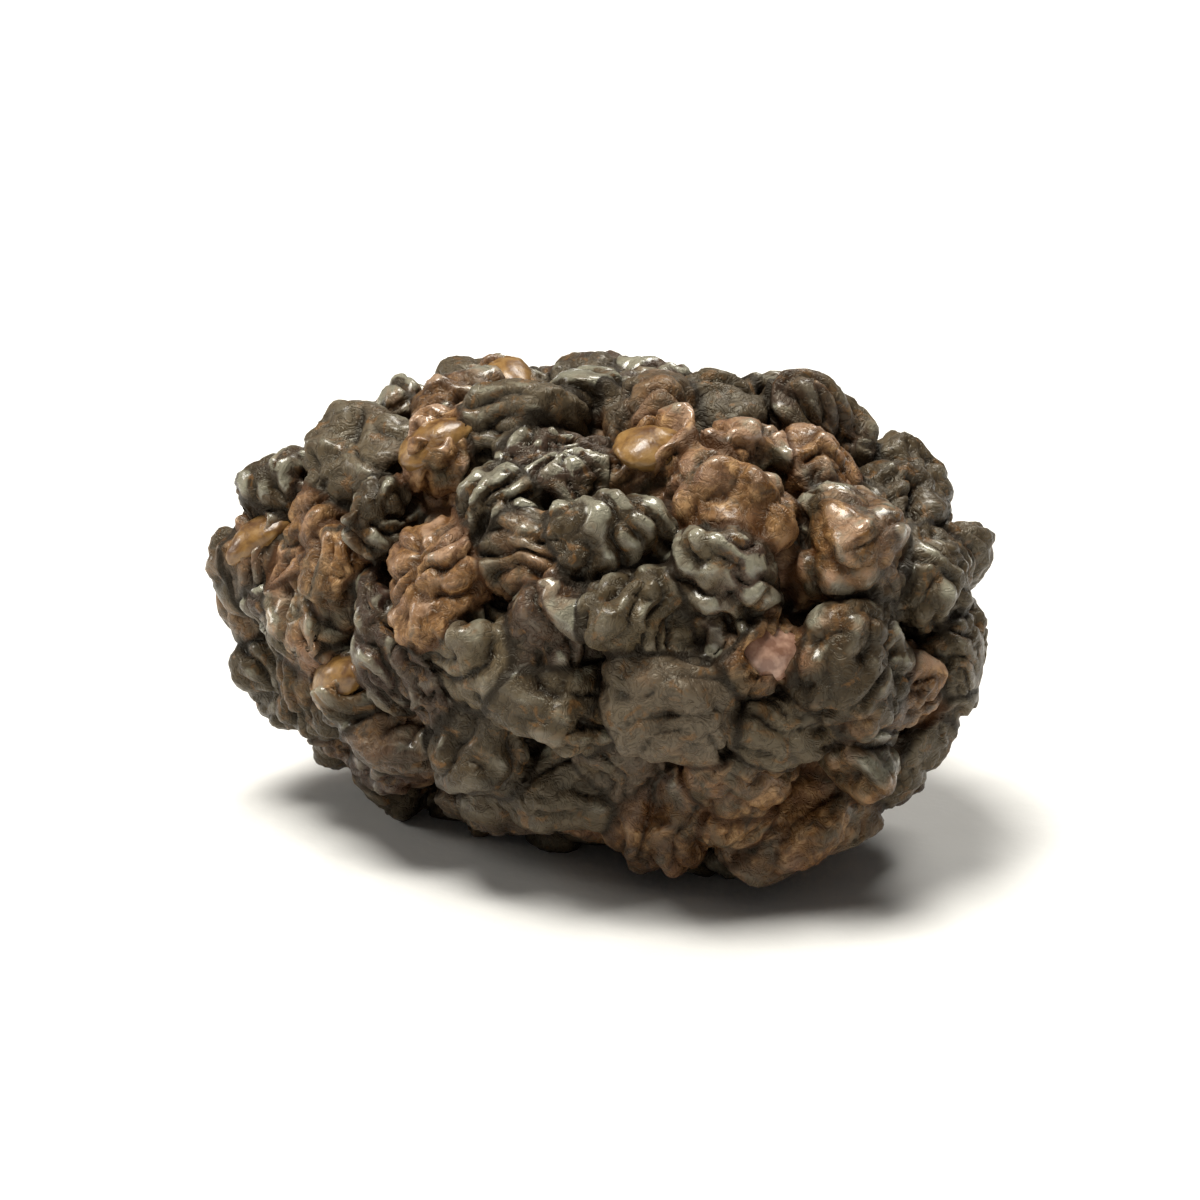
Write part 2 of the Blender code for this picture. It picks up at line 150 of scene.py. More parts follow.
# The seeds, as in the solid
SEED_SPOTS = ((1.4, 3.6), (-6.8, -1.4), (3.8, -1.6), (-3.8, 3.5), (-8.2, 1.9))
HIDDEN_SEEDS = 7
HIDDEN_SEEDS_TOWARDS = (0.0, 1.2, 0.3)
SEED_LENGTH = 1.9 * MM
SEED_WIDTH = 1.35 * MM
SEED_THICKNESS = 0.9 * MM
SEED_TAPER = 0.35
SEED_PROUD = 0.24 * MM
PINK_SEEDS = (2,)  # for the looks alone, which seeds are pinkish

# The solid's corners, which the fruit is laid down on
SMALL_RINGS = (37, 76)
LARGE_RINGS = (30, 60, 92)
LARGE_FROM = 1.34 * MM
DRUPELET_SIDES = 7
GIRTH_ROUNDS = 5
HALVINGS = 40
SETTLING_ROUNDS = 60
GAP_TRIALS = 1500
FIRST_TURN = 0.1
FINEST_TURN = 0.0001
SEED_OF_CHANCE = 27
GOLDEN_ANGLE = math.pi * (3 - math.sqrt(5))

# Seeds of chance for the looks, one for each use
LOOKS_CHANCE = 8
PURPLE_CHANCE = 10
BULK_CHANCE = 5
WRINKLE_CHANCE = 6
WARP_CHANCE = 9
TORN_CHANCE = 8
RUST_CHANCE = 9
PIT_CHANCE = 7
STALK_CHANCE = 8

# The noise that misshapes things, and what keeps two uses of it apart
NOISE_TABLE = 256
NOISE_STRENGTH = 1.5  # brings it to about -1 to 1
VECTOR_APART = (0.0, 31.7, 67.1)  # the three parts of a vector
DRUPELETS_APART = np.array([7.31, 3.17, 5.77])  # one drupelet and the next
SEEDS_APART = 5.3
TIP_APART = 9  # the stalk's grooves and its broken end

# The fine skin, in millimetres
SKIN_VOXEL = 0.066
SKIN_TRIANGLES = 196_000
BALL_SUBDIVISIONS = 5
BULK = 0.22  # how much a drupelet is misshapen, as a share of its reach
BULK_NOISES = ((1.0, 1.2), (0.4, 2.4))  # how strong each is, and its features to a drupelet's radius
STEP_ROUNDS = 2  # of smoothing, which take off the steps between voxels
LUMP_ROUNDS = 20  # of smoothing, which leave plain lumps
BODY_ROUNDS = 180  # of smoothing, which leave the body without its lumps
BULGES = (-0.12, 0.12)  # how far out of the body skin is wholly crevice, and how far out wholly top
TOPS_PRESSED = 0.60  # how much of their roundness the drupelets lost
CREVICES_FILLED = 0.15  # how much of their depth the crevices lost
WARPS = ((0.38, 2.4), (0.13, 1.1))  # how far the skin is pushed about, and over what lengths
LAST_ROUNDS = 1  # of smoothing, which take the edge off the wrinkles
LAST_SHARE = 0.25
HELD_FROM = 0.96  # of the solid's half size, from where on the skin is held back
HELD_BACK = 0.6

# The wrinkles, in millimetres. How fine a noise is counts its features to a drupelet's radius
FOLD_HEIGHT = 0.36  # of the folds that lie round one sunken place
FOLDS = (3.2, 6.5)  # from the sunken place round to the other side
FOLDS_ROUND = (45, 110)  # how far from the drupelet's top the sunken place lies, in degrees
FOLDS_FADE = (0.15, 0.60)  # how near the sunken place the folds fade away, in radians
FOLDS_BENT = 0.25
FOLDS_WANDER = 1.5
WANDER_FINE = 1.1
BEND_FINE = 1.3
FOLDED_FINE = 1.5
FOLDED = (-0.5, 0.3)  # the noise where skin begins to fold, and where it is wholly folded
CRUMPLE_HEIGHT = 0.26
CRUMPLE_FINE = 1.3
CRUMPLE_BENT = 0.6
CRUMPLE_LOST = 0.6  # the share of its crumples that wholly folded skin lacks
CREASE_HEIGHT = 0.055
CREASE_NOISES = ((1.0, 2.0, 0.7), (0.5, 4.2, 1.2))  # how strong, how fine to a millimetre, and how bent
THROUGH_FINE = 1.3  # to a millimetre too, of the noise that bends them
MEAN_FOLD = 0.75  # taken off the folds, and the others alike, so that they don't swell the fruit
MEAN_CRUMPLE = 0.65
MEAN_CREASE = 0.95
SMOOTHEST = 0.85  # the share of its wrinkles that the smoothest skin lacks
CREVICE_EDGE = 0.09  # how near a neighbour, as a share of a drupelet's size, wrinkles fade away

# What the material reads at each corner
CREVICE_ROUNDS = 60  # of smoothing, which show how deep a corner lies in what is round it
CREVICE_DEPTH = 0.30  # from where skin that stands out is clear of painted shade to where sunken skin is wholly painted dark
SEAM_WIDTH = 0.20  # how far the painted shade of a crevice reaches, as a share of a drupelet's size
RUST_ROUNDS = 14  # of smoothing from drupelet to drupelet
RUST_FINE = 0.45  # features to a millimetre, of the noise that varies it
RUST_VARIED = (0.6, 0.8)  # the least of its rust that skin has, and how much more it may have
COLOUR_ROUNDS = 3  # of the same, for the other colours
CREST_FULL = 0.08  # how far out a crest lies that is wholly painted pale and wholly glints
CREST_LEAST = 0.35  # how pale the crests are painted on drupelets with the least bloom and sheen
GLINT_LEAST = 0.2  # how much skin that faces down still glints
FACING_UP = (-0.2, 0.6)  # the upward part of the normal, from the least glint to the whole of it

# The pockets that the seeds lie in, as shares of a seed's half width, and in millimetres
POCKET_REACH = 1.8
POCKET_EDGE = (0.35, 0.62)
POCKET_RAGGED = 0.35
RAGGED_FINE = 2.0  # features to a millimetre
RIM_AT = 0.85
RIM_WIDTH = 0.25
TORN_TO = 1.4
POCKET_DEPTH = 0.35
POCKET_RIM = 0.16

# The finer seeds and stalk
SEED_SHOWS = 0.12  # how far a seed stands out of the skin, in millimetres
SEED_BED = 0.7  # the share of a seed's half width under which the skin's height is measured
SEED_SUBDIVISIONS = 4
SEED_PITS = 0.05
PITS_FINE = 3.5  # features to a seed's half size
SEED_KEEL = 0.25
STALK_GIRTHS = ((0.0, 1.25), (0.45, 1.0), (0.75, 0.85), (1.0, 1.02))
STALK_THINNER = 0.85
STALK_GROOVES = 0.16
GROOVE_NOISES = ((1.0, 2.2, 1), (0.4, 6, 2))  # how strong each is, how fine, and how fast it changes
GROOVE_CHANGES = 1.5  # features of the first one along the stalk
STALK_RAGGED = 0.12 * MM
TIP_FINE = 3  # features of the broken edge to the stalk's radius
TIP_GROOVE = 0.3  # how far the broken end's middle is from groove to ridge
STALK_CUPPED = 0.15 * MM
STALK_SIDES = 48
STALK_RINGS = 40

# Colours, as linear red, green and blue: the skin's, from dark to pale in each group
INK = (0.014, 0.0075, 0.0032)
DARK_BROWN = (0.050, 0.031, 0.014)
BROWN = (0.048, 0.033, 0.016)
PALE_BROWN = (0.115, 0.083, 0.044)
PURPLE_BROWN = (0.048, 0.023, 0.020)
GREY_BROWN = (0.145, 0.112, 0.072)
DARK_RUST = (0.062, 0.025, 0.007)
RUST = (0.205, 0.096, 0.031)
PALE_RUST = (0.48, 0.28, 0.125)
FLESH = (0.29, 0.165, 0.108)
FLECK = (0.170, 0.082, 0.026)
# Painted shade for creases, crevices and seams, and its warmer form over rusty skin
PAINTED_SHADE = (0.010, 0.0045, 0.0014)
RUSTY_PAINTED_SHADE = (0.060, 0.021, 0.005)
# Crest colours, part a dry bloom and part painted sheen, and painted highlights where crests glint
CREST_BLOOM_AND_SHEEN_GREY = (0.25, 0.215, 0.155)
CREST_BLOOM_AND_SHEEN_TAN = (0.36, 0.20, 0.105)
PAINTED_GLINT_GREY = (0.34, 0.33, 0.245)
PAINTED_GLINT_TAN = (0.50, 0.325, 0.215)
SHEEN_TINT = (1.0, 0.95, 0.78)
SEAM_ROUGHNESS = (0.6, 0.6, 0.6)  # as a grey

# The colours of the seeds, the stalk and the floor
AMBERS = ((0.10, 0.042, 0.010), (0.26, 0.140, 0.040), (0.42, 0.26, 0.100))
PINKS = ((0.25, 0.125, 0.080), (0.52, 0.32, 0.23))
STALK_GROOVE_TONES = ((0.045, 0.026, 0.013), (0.16, 0.105, 0.058))
STALK_CLOUDS = ((0.03, 0.018, 0.01), (0.2, 0.14, 0.08))
PAPERS = ((0.80, 0.80, 0.79), (0.84, 0.84, 0.83))

# How deep the bump of each material is
SKIN_BUMP = 0.026 * MM
SEED_BUMP = 0.015 * MM
STALK_BUMP = 0.015 * MM
FLOOR_BUMP = 0.01 * MM

# The studio
LOOK_AT = (0.0, 0.0, 5.4 * MM)
CAMERA_LENS = 100
CAMERA_AWAY = 76 * MM
FLOOR_WIDTH = 2.0
ROOM_LIGHT = 0.08
LIGHT_COLOUR = (1.0, 0.97, 0.90)
SOFT_BOXES = (
    ("key_light", (-0.08, -0.08, 0.48), 0.20, 3.3),
    ("back_light", (0.04, 0.32, 0.42), 0.18, 1.5),
    ("side_light", (-0.40, -0.04, 0.16), 0.12, 0.45),
)


def unit(vectors):
    return vectors / np.linalg.norm(vectors, axis=-1, keepdims=True)


def body_axes(depth=SEAT_DEPTH):
    """Half sizes of the egg-shaped surface at this depth; the drupelets' middles lie on that at their own."""
    return np.array([FRUIT_LENGTH, FRUIT_WIDTH, FRUIT_HEIGHT]) / 2 - depth


def around_axis(along, degrees):
    """Unit directions this far along the fruit, as a share of its half length, and this far round it."""
    along, turn = np.asarray(along), np.radians(degrees)
    ring = np.sqrt(1 - along**2)
    return np.stack([along, -ring * np.cos(turn), ring * np.sin(turn)], axis=-1)


def girths(directions):
    """Factors by which the egg is thicker at the tip and thinner at the stalk, for x, y and z."""
    girth = 1 + TIP_FULLER * directions[:, :1]
    return np.hstack([np.ones_like(girth), girth, girth])


def on_body(directions):
    """The points of the seat surface towards these unit directions from the fruit's middle."""
    swelling = np.zeros(len(directions))
    for along, degrees, height, width in SWELLS:
        angle = np.arccos(np.clip(directions @ around_axis(along, degrees), -1, 1))
        swelling += height * np.exp(-((angle / width) ** 2))
    points = directions * body_axes() * girths(directions)
    return points * (1 + swelling / np.linalg.norm(points, axis=1))[:, None]


def towards(points, depth=SEAT_DEPTH):
    """The unit directions that lead to these points on the egg-shaped surface at this depth."""
    directions = unit(points / body_axes(depth))
    for _ in range(GIRTH_ROUNDS):
        directions = unit(points / body_axes(depth) / girths(directions))
    return directions


def seen_axes():
    """Right, up, and towards the onlooker, from the side that is seen first."""
    azimuth, elevation = np.radians(SEEN_FROM)
    right = np.array([math.cos(azimuth), math.sin(azimuth), 0.0])
    back = np.array([math.sin(azimuth) * math.cos(elevation), -math.cos(azimuth) * math.cos(elevation),
                     math.sin(elevation)])
    return right, np.cross(back, right), back


def seen_directions(spots):
    """Directions of the spots that are seen this far right and up of the fruit's middle, in millimetres."""
    right, up, back = seen_axes()
    flat = MM * (np.outer(spots[:, 0], right) + np.outer(spots[:, 1], up))
    near, far = np.zeros((len(flat), 1)), np.full((len(flat), 1), FRUIT_LENGTH)
    for _ in range(HALVINGS):
        points = flat + (near + far) / 2 * back
        inside = np.linalg.norm(points / body_axes(0) / girths(towards(points, 0)), axis=1, keepdims=True) < 1
        near, far = np.where(inside, (near + far) / 2, near), np.where(inside, far, (near + far) / 2)
    return towards(flat + near * back, 0)


def golden_directions(count):
    """Unit directions spread from the stalk end to the tip, each the golden angle round from the last."""
    step = np.arange(count)
    return around_axis(2 * (step + 0.5) / count - 1, np.degrees(step * GOLDEN_ANGLE))


def settled(directions, radii, held):
    """Pushes crowded seats apart along the body. The first ones, as many as held, stay where they are."""
    for _ in range(SETTLING_ROUNDS):
        points = on_body(directions)
        apart = points[:, None] - points[None, :]
        distance = np.linalg.norm(apart, axis=2) + np.eye(len(points))
        wanted = NEIGHBOUR_SPACING * (radii[:, None] + radii[None, :])
        push = np.clip(wanted - distance, 0, None) / distance
        np.fill_diagonal(push, 0)
        move = (apart * push[..., None]).sum(axis=1) / 2
        move[:held] = 0
        directions = towards(points + move)
    return directions


def gap_fillers(directions, radii, chance):
    """Directions and radii of drupelets that close the gaps between these, the widest gap first."""
    trials = golden_directions(GAP_TRIALS)
    points = on_body(trials)
    distance = (np.linalg.norm(points[:, None] - on_body(directions)[None, :], axis=2) - radii).min(axis=1)
    added, added_radii = [], []
    while distance.max() > GAP_FILLED:
        widest = distance.argmax()
        radius = np.clip(distance[widest] + chance.uniform(*FILLER_OVERLAP), *DRUPELET_RADIUS)
        added.append(trials[widest])
        added_radii.append(radius)
        distance = np.minimum(distance, np.linalg.norm(points - points[widest], axis=1) - radius)
    return np.array(added).reshape(-1, 3), np.array(added_radii)


def drupelet_seats(chance):
    """Directions, radii, lengths and lengthwise vectors of all drupelets, clear of the stalk's hollow."""
    marks = np.array(LANDMARKS)
    right, up, _ = seen_axes()
    turns = np.radians(marks[:, 4])
    held = np.vstack([unit(np.array([STALK_TOWARDS])), seen_directions(marks)])
    held_radii = np.concatenate([[STALK_ROOM], marks[:, 2] * MM])

    others = golden_directions(DRUPELETS_STARTED)
    other_radii = chance.uniform(*DRUPELET_RADIUS, size=len(others))
    distance = np.linalg.norm(on_body(others)[:, None] - on_body(held)[None, :], axis=2)
    free = (distance > LANDMARK_CLEARANCE * (other_radii[:, None] + held_radii[None, :])).all(axis=1)

    radii = np.concatenate([held_radii, other_radii[free]])
    directions = settled(np.vstack([held, others[free]]), radii, len(held))
    fillers, filler_radii = gap_fillers(directions, radii, chance)
    directions, radii = np.vstack([directions[1:], fillers]), np.concatenate([radii[1:], filler_radii])

    unmarked = len(directions) - len(marks)
    lengths = np.concatenate([marks[:, 3], chance.uniform(*DRAWN_OUT, size=unmarked)])
    tip = np.array([1.0, 0.0, 0.0])
    longways = np.vstack([np.outer(np.cos(turns), right) + np.outer(np.sin(turns), up),
                          tip + chance.normal(0, LENGTHWAYS_SCATTER, size=(unmarked, 3))])
    return directions, radii, lengths, longways


def outward(directions):
    """Unit normals of the seat surface."""
    return unit(on_body(directions) / body_axes() ** 2)


class Drupelet:
    """One shrivelled drupelet: an egg-shaped lump with dents, leaning towards the tip of the fruit."""

    def __init__(self, seat, normal, radius, length, longways, chance):
        tip = np.array([1.0, 0.0, 0.0])
        lean = DRUPELET_LEAN * (tip - normal * normal[0]) + chance.normal(0, LEAN_SCATTER, 3)
        out = unit(normal + lean)
        across = unit(np.cross(longways, out))
        self.axes = np.stack([across, np.cross(out, across), out])
        self.sizes = radius * np.array([1 / math.sqrt(length), length, DRUPELET_RISE])
        self.middle = seat - normal * chance.uniform(-0.5, 0.5) * SEAT_SCATTER
        away = np.radians(chance.uniform(*DENT_PLACE, DENTS))
        around = chance.uniform(0, math.tau, DENTS)
        ring = np.sin(away)
        self.dents = np.stack([ring * np.cos(around), ring * np.sin(around), np.cos(away)], axis=1)
        self.dent_depths = chance.uniform(*DENT_DEPTH, DENTS)
        self.dent_widths = chance.uniform(*DENT_WIDTH, DENTS)

    def reach(self, directions):
        """How far the dented skin lies from the middle, as a share of its size, towards local directions."""
        angle = np.arccos(np.clip(directions @ self.dents.T, -1, 1))
        return (1 - self.dent_depths * np.exp(-((angle / self.dent_widths) ** 2))).prod(axis=1)

    def skin(self, directions, wrinkles=1.0):
        """Points of the skin towards local unit directions: across, along, and out."""
        local = directions * (self.reach(directions) * wrinkles)[:, None] * self.sizes
        return self.middle + local @ self.axes


def globe_directions(rings, sides, turn=0.0):
    """Unit directions of a globe's corners: its outer pole, its rings, and its inner pole."""
    rows = [np.array([[0.0, 0.0, 1.0]])]
    for k, degrees in enumerate(rings):
        around = turn + (np.arange(sides) + 0.5 * (k % 2)) * math.tau / sides
        away = math.radians(degrees)
        ring = np.stack([np.sin(away) * np.cos(around), np.sin(away) * np.sin(around)], axis=1)
        rows.append(np.hstack([ring, np.full((sides, 1), math.cos(away))]))
    rows.append(np.array([[0.0, 0.0, -1.0]]))
    return np.vstack(rows)


def resting_up(corners):
    """The direction that is up when the fruit lies still, with its middle as low as it can be."""
    about_middle = corners - corners.mean(axis=0)

    def height(up):
        return -(about_middle @ up).min()

    up, step = np.array([0.0, 0.0, 1.0]), FIRST_TURN
    while step > FINEST_TURN:
        trials = unit(up + step * np.array([[1, 0, 0], [-1, 0, 0], [0, 1, 0], [0, -1, 0]]))
        lowest = min(trials, key=height)
        if height(lowest) < height(up):
            up = lowest
        else:
            step /= 2
    return up


def laid_down(corners):
    """The turn and the shift that lay the fruit on its lowest points, with the origin under its middle."""
    up = resting_up(corners)
    over = unit(np.cross(up, [1.0, 0.0, 0.0]))
    turn = np.stack([np.cross(over, up), over, up])
    turned = corners @ turn.T
    shift = -(turned.min(axis=0) + turned.max(axis=0)) / 2
    shift[2] = -turned[:, 2].min() - PRESSED_FLAT
    return turn, shift


def seed_spots(chance):
    """Points above the skin where a seed shows."""
    hidden = unit(chance.normal(size=(HIDDEN_SEEDS, 3)) + HIDDEN_SEEDS_TOWARDS)
    directions = np.vstack([seen_directions(np.array(SEED_SPOTS)), hidden])
    return on_body(directions) + SEAT_DEPTH * outward(directions)


class Seed:
    """Where a seed lies in a drupelet's skin: its middle, and its axes across, along and out."""

    def __init__(self, drupelet, spot):
        surface = drupelet.skin(unit(drupelet.axes @ (spot - drupelet.middle) / drupelet.sizes)[None, :])[0]
        out = unit(surface - drupelet.middle)
        across = unit(np.cross(out, drupelet.axes[1]))
        self.axes = np.stack([across, np.cross(across, out), out])
        self.half = np.array([SEED_WIDTH, SEED_LENGTH, SEED_THICKNESS]) / 2
        self.middle = surface - out * (self.half[2] - SEED_PROUD)


class Noise:
    """Smooth noise of about -1 to 1 through space, with one feature to a unit of length."""

    def __init__(self, chance):
        self.table = np.tile(chance.permutation(NOISE_TABLE), 2)
        self.slopes = unit(chance.normal(size=(NOISE_TABLE, 3)))

    def __call__(self, points):
        cell = np.floor(points).astype(int)
        inside = points - cell
        ease = inside**3 * (inside * (inside * 6 - 15) + 10)
        total = np.zeros(len(points))
        for corner in np.ndindex(2, 2, 2):
            corner = np.array(corner)
            x, y, z = ((cell + corner) % NOISE_TABLE).T
            slope = self.slopes[self.table[self.table[self.table[x] + y] + z]]
            weight = np.prod(np.where(corner, ease, 1 - ease), axis=1)
            total += weight * ((inside - corner) * slope).sum(axis=1)
        return NOISE_STRENGTH * total

    def vector(self, points):
        return np.stack([self(points + apart) for apart in VECTOR_APART], axis=1)

    def pillows(self, points):
        """0 on a net of tight creases, rising to about 1 on the round folds between them."""
        return np.sqrt(2 * np.abs(self(points)))


def noise_from(seed):
    return Noise(np.random.default_rng(seed))


def globe(subdivisions):
    """Corners and triangles of an even globe of radius 1."""
    shape = bmesh.new()
    bmesh.ops.create_icosphere(shape, subdivisions=subdivisions, radius=1.0)
    corners = unit(np.array([corner.co for corner in shape.verts]))
    faces = np.array([[corner.index for corner in face.verts] for face in shape.faces])
    shape.free()
    return corners, faces


def mesh_of(name, corners, faces):
    """A mesh of these corners and faces, which all have the same number of sides."""
    mesh = bpy.data.meshes.new(name)
    mesh.vertices.add(len(corners))
    mesh.vertices.foreach_set("co", corners.astype(np.float32).ravel())
    mesh.loops.add(faces.size)
    mesh.loops.foreach_set("vertex_index", faces.astype(np.int32).ravel())
    mesh.polygons.add(len(faces))
    mesh.polygons.foreach_set("loop_start", np.arange(0, faces.size, faces.shape[1], dtype=np.int32))
    mesh.update(calc_edges=True)
    return mesh


def shown(name, mesh):
    thing = bpy.data.objects.new(name, mesh)
    bpy.context.scene.collection.objects.link(thing)
    return thing


def applied(thing):
    """Gives the object the mesh that its modifiers make."""
    graph = bpy.context.evaluated_depsgraph_get()
    mesh = bpy.data.meshes.new_from_object(thing.evaluated_get(graph))
    thing.modifiers.clear()
    thing.data = mesh
    return mesh


def corner_vectors(mesh, field="co"):
    values = np.empty(3 * len(mesh.vertices), np.float32)
    mesh.vertices.foreach_get(field, values)
    return values.reshape(-1, 3).astype(float)


def move_corners(mesh, corners):
    mesh.vertices.foreach_set("co", corners.astype(np.float32).ravel())
    mesh.update()


def edge_ends(mesh):
    ends = np.empty(2 * len(mesh.edges), np.int32)
    mesh.edges.foreach_get("vertices", ends)
    return ends.reshape(-1, 2).T


def relaxed(thing, corners, rounds, share=0.5):
    """The corners, once each has been drawn towards its neighbours' middle so many times."""
    move_corners(thing.data, corners)
    smooth = thing.modifiers.new("relaxed", "SMOOTH")
    smooth.factor = share
    smooth.iterations = rounds
    graph = bpy.context.evaluated_depsgraph_get()
    moved = corner_vectors(thing.evaluated_get(graph).data)
    thing.modifiers.clear()
    return moved


def spread(values, ends, rounds):
    """A value at each corner, once it has been drawn towards its neighbours' mean so many times."""
    one, other = ends
    count = len(values)
    neighbours = np.bincount(one, minlength=count) + np.bincount(other, minlength=count)
    for _ in range(rounds):
        total = np.bincount(one, values[other], count) + np.bincount(other, values[one], count)
        values = (values + total / neighbours) / 2
    return values


def keep_outside(mesh):
    """Keeps the largest connected part of the mesh alone: the others are closed hollows inside it."""
    shape = bmesh.new()
    shape.from_mesh(mesh)
    left, largest = set(shape.verts), set()
    while left:
        front = {left.pop()}
        island = set(front)
        while front:
            near = {edge.other_vert(corner) for corner in front for edge in corner.link_edges}
            front = near & left
            left -= front
            island |= front
        largest = max(largest, island, key=len)
    hollows = [corner for corner in shape.verts if corner not in largest]
    bmesh.ops.delete(shape, geom=hollows, context="VERTS")
    shape.to_mesh(mesh)
    shape.free()


def paint_corners(mesh, name, values):
    """Keeps a value from 0 to 1 at each corner, for a material to read."""
    layer = mesh.attributes.new(name, "FLOAT", "POINT")
    layer.data.foreach_set("value", np.clip(values, 0, 1).astype(np.float32))


def step_up(values, low, high):
    """0 below low, 1 above high, and a soft step between."""
    share = np.clip((values - low) / (high - low), 0, 1)
    return share * share * (3 - 2 * share)


def laid_out():
    """The drupelets and seeds where they are on the fruit as it lies, and the turn and shift that laid it."""
    chance = np.random.default_rng(SEED_OF_CHANCE)
    directions, radii, lengths, longways = drupelet_seats(chance)
    seats, normals = on_body(directions), outward(directions)
    drupelets = [Drupelet(*row, chance) for row in zip(seats, normals, radii, lengths, longways)]
    middles = np.array([drupelet.middle for drupelet in drupelets])
    corners = []
    for drupelet, radius in zip(drupelets, radii):
        rings = LARGE_RINGS if radius >= LARGE_FROM else SMALL_RINGS
        globe_turn = chance.uniform(0, math.tau)
        corners.append(drupelet.skin(globe_directions(rings, DRUPELET_SIDES, turn=globe_turn)))
    turn, shift = laid_down(np.vstack(corners))
    seeds = []
    for spot in seed_spots(chance):
        nearest = np.linalg.norm(middles - spot, axis=1).argmin()
        seeds.append(Seed(drupelets[nearest], spot))
    for thing in drupelets + seeds:
        thing.middle = turn @ thing.middle + shift
        thing.axes = thing.axes @ turn.T
    return drupelets, seeds, turn, shift


def drupelet_looks(count):
    """By name, each drupelet's looks from 0 to 1, the number of its folds, and the place they lie round."""
    chance = np.random.default_rng(LOOKS_CHANCE)
    marks = np.array(LANDMARKS)
    unmarked = count - len(marks)
    looks = {
        "rust": np.concatenate([marks[:, 5], chance.beta(*RUST_ELSEWHERE, unmarked)]),
        "smooth": np.concatenate([marks[:, 6], chance.uniform(*SMOOTH_ELSEWHERE, unmarked)]),
        "bloom_and_sheen": np.concatenate([marks[:, 7], chance.uniform(*BLOOM_AND_SHEEN_ELSEWHERE, unmarked)]),
        "light": chance.uniform(0, 1, count),
        "purple": np.random.default_rng(PURPLE_CHANCE).uniform(0, 1, count),
    }
    away = np.radians(chance.uniform(*FOLDS_ROUND, count))
    around = chance.uniform(0, math.tau, count)
    ring = np.sin(away)
    looks["centre"] = np.stack([ring * np.cos(around), ring * np.sin(around), np.cos(away)], axis=1)
    looks["folds"] = chance.uniform(*FOLDS, count)
    return looks


def skin_blank(drupelets, turn, shift):
    """All drupelets over the core, misshapen but unwrinkled and still running into each other."""
    corners, faces = globe(BALL_SUBDIVISIONS)
    noise = noise_from(BULK_CHANCE)
    core = on_body(corners) * (1 - CORE_DEPTH / body_axes().min())
    layers = [core @ turn.T + shift]
    for number, drupelet in enumerate(drupelets):
        own = number * DRUPELETS_APART
        bulk = sum(strong * noise(fine * corners + own) for strong, fine in BULK_NOISES)
        layers.append(drupelet.skin(corners, 1 + BULK * bulk))
    every_face = [faces + len(corners) * k for k in range(len(layers))]
    return mesh_of("skin_blank", np.vstack(layers) / MM, np.vstack(every_face))


def owners(corners, drupelets):
    """The number of the drupelet that each corner belongs to, and how much further the next one's skin is."""
    closest, second = np.full(len(corners), np.inf), np.full(len(corners), np.inf)
    owner = np.zeros(len(corners), int)
    for k, drupelet in enumerate(drupelets):
        distance = np.linalg.norm((corners * MM - drupelet.middle) @ drupelet.axes.T / drupelet.sizes, axis=1)
        nearer = distance < closest
        second = np.where(nearer, closest, np.minimum(second, distance))
        closest[nearer] = distance[nearer]
        owner[nearer] = k
    return owner, second - closest


def wrinkles(corners, drupelets, looks, owner, apart):
    """How far the wrinkled skin lies out from the plain one at each corner, in millimetres."""
    middles = np.array([drupelet.middle for drupelet in drupelets])
    axes = np.array([drupelet.axes for drupelet in drupelets])
    sizes = np.array([drupelet.sizes for drupelet in drupelets])
    local = np.einsum("nij,nj->ni", axes[owner], corners * MM - middles[owner])
    directions = unit(local / sizes[owner])

    # Each noise on a drupelet is read at another multiple of the drupelet's own place
    noise = noise_from(WRINKLE_CHANCE)
    own = owner[:, None] * DRUPELETS_APART
    bend = noise.vector(BEND_FINE * directions + own)
    centre_off = (unit(directions + FOLDS_BENT * bend) * looks["centre"][owner]).sum(axis=1)
    from_centre = np.arccos(np.clip(centre_off, -1, 1))
    wander = FOLDS_WANDER * noise(WANDER_FINE * directions + 2 * own)
    fold = np.sqrt(np.abs(np.sin(looks["folds"][owner] * from_centre + wander)))
    folded = step_up(noise(FOLDED_FINE * directions + 3 * own), *FOLDED) * step_up(from_centre, *FOLDS_FADE)
    crumple = noise.pillows(CRUMPLE_FINE * directions + CRUMPLE_BENT * bend + 2.3 * own)
    through = noise.vector(THROUGH_FINE * corners)
    crease = sum(strong * noise.pillows(fine * corners + bent * through)
                 for strong, fine, bent in CREASE_NOISES)

    relief = FOLD_HEIGHT * folded * (fold - MEAN_FOLD)
    relief += CRUMPLE_HEIGHT * (1 - CRUMPLE_LOST * folded) * (crumple - MEAN_CRUMPLE)
    creases = CREASE_HEIGHT * (crease - MEAN_CREASE)
    return step_up(apart, 0, CREVICE_EDGE) * ((1 - SMOOTHEST * looks["smooth"][owner]) * relief + creases)


def held_back(corners):
    """The corners, with those near the sides or the top of the solid's box drawn in to keep inside it."""
    low, high = np.array(CAD_BOX) / MM
    middle, half = (low + high) / 2, (high - low) / 2
    off = (corners - middle) / half
    beyond = np.maximum(np.abs(off) - HELD_FROM, 0) * np.sign(off)
    beyond[:, 2] = np.maximum(beyond[:, 2], 0)
    return middle + (off - HELD_BACK * beyond) * half


def over_seed(seed, corners, normals):
    """The corners in the seed's own axes and half sizes, and which of them are skin that faces out there."""
    local = (corners - seed.middle / MM) @ seed.axes.T / (seed.half / MM)
    return local, (np.abs(local[:, 2]) < POCKET_REACH) & (normals @ seed.axes[2] > 0)


def seat_seeds(seeds, corners, normals):
    """Moves each seed in or out to stand a little out of the wrinkled skin round it."""
    for seed in seeds:
        local, facing = over_seed(seed, corners, normals)
        near = facing & (np.hypot(local[:, 0], local[:, 1]) < SEED_BED)
        if near.any():
            height = np.median(local[near, 2]) * seed.half[2]
            seed.middle = seed.middle + seed.axes[2] * (height - seed.half[2] + SEED_SHOWS * MM)


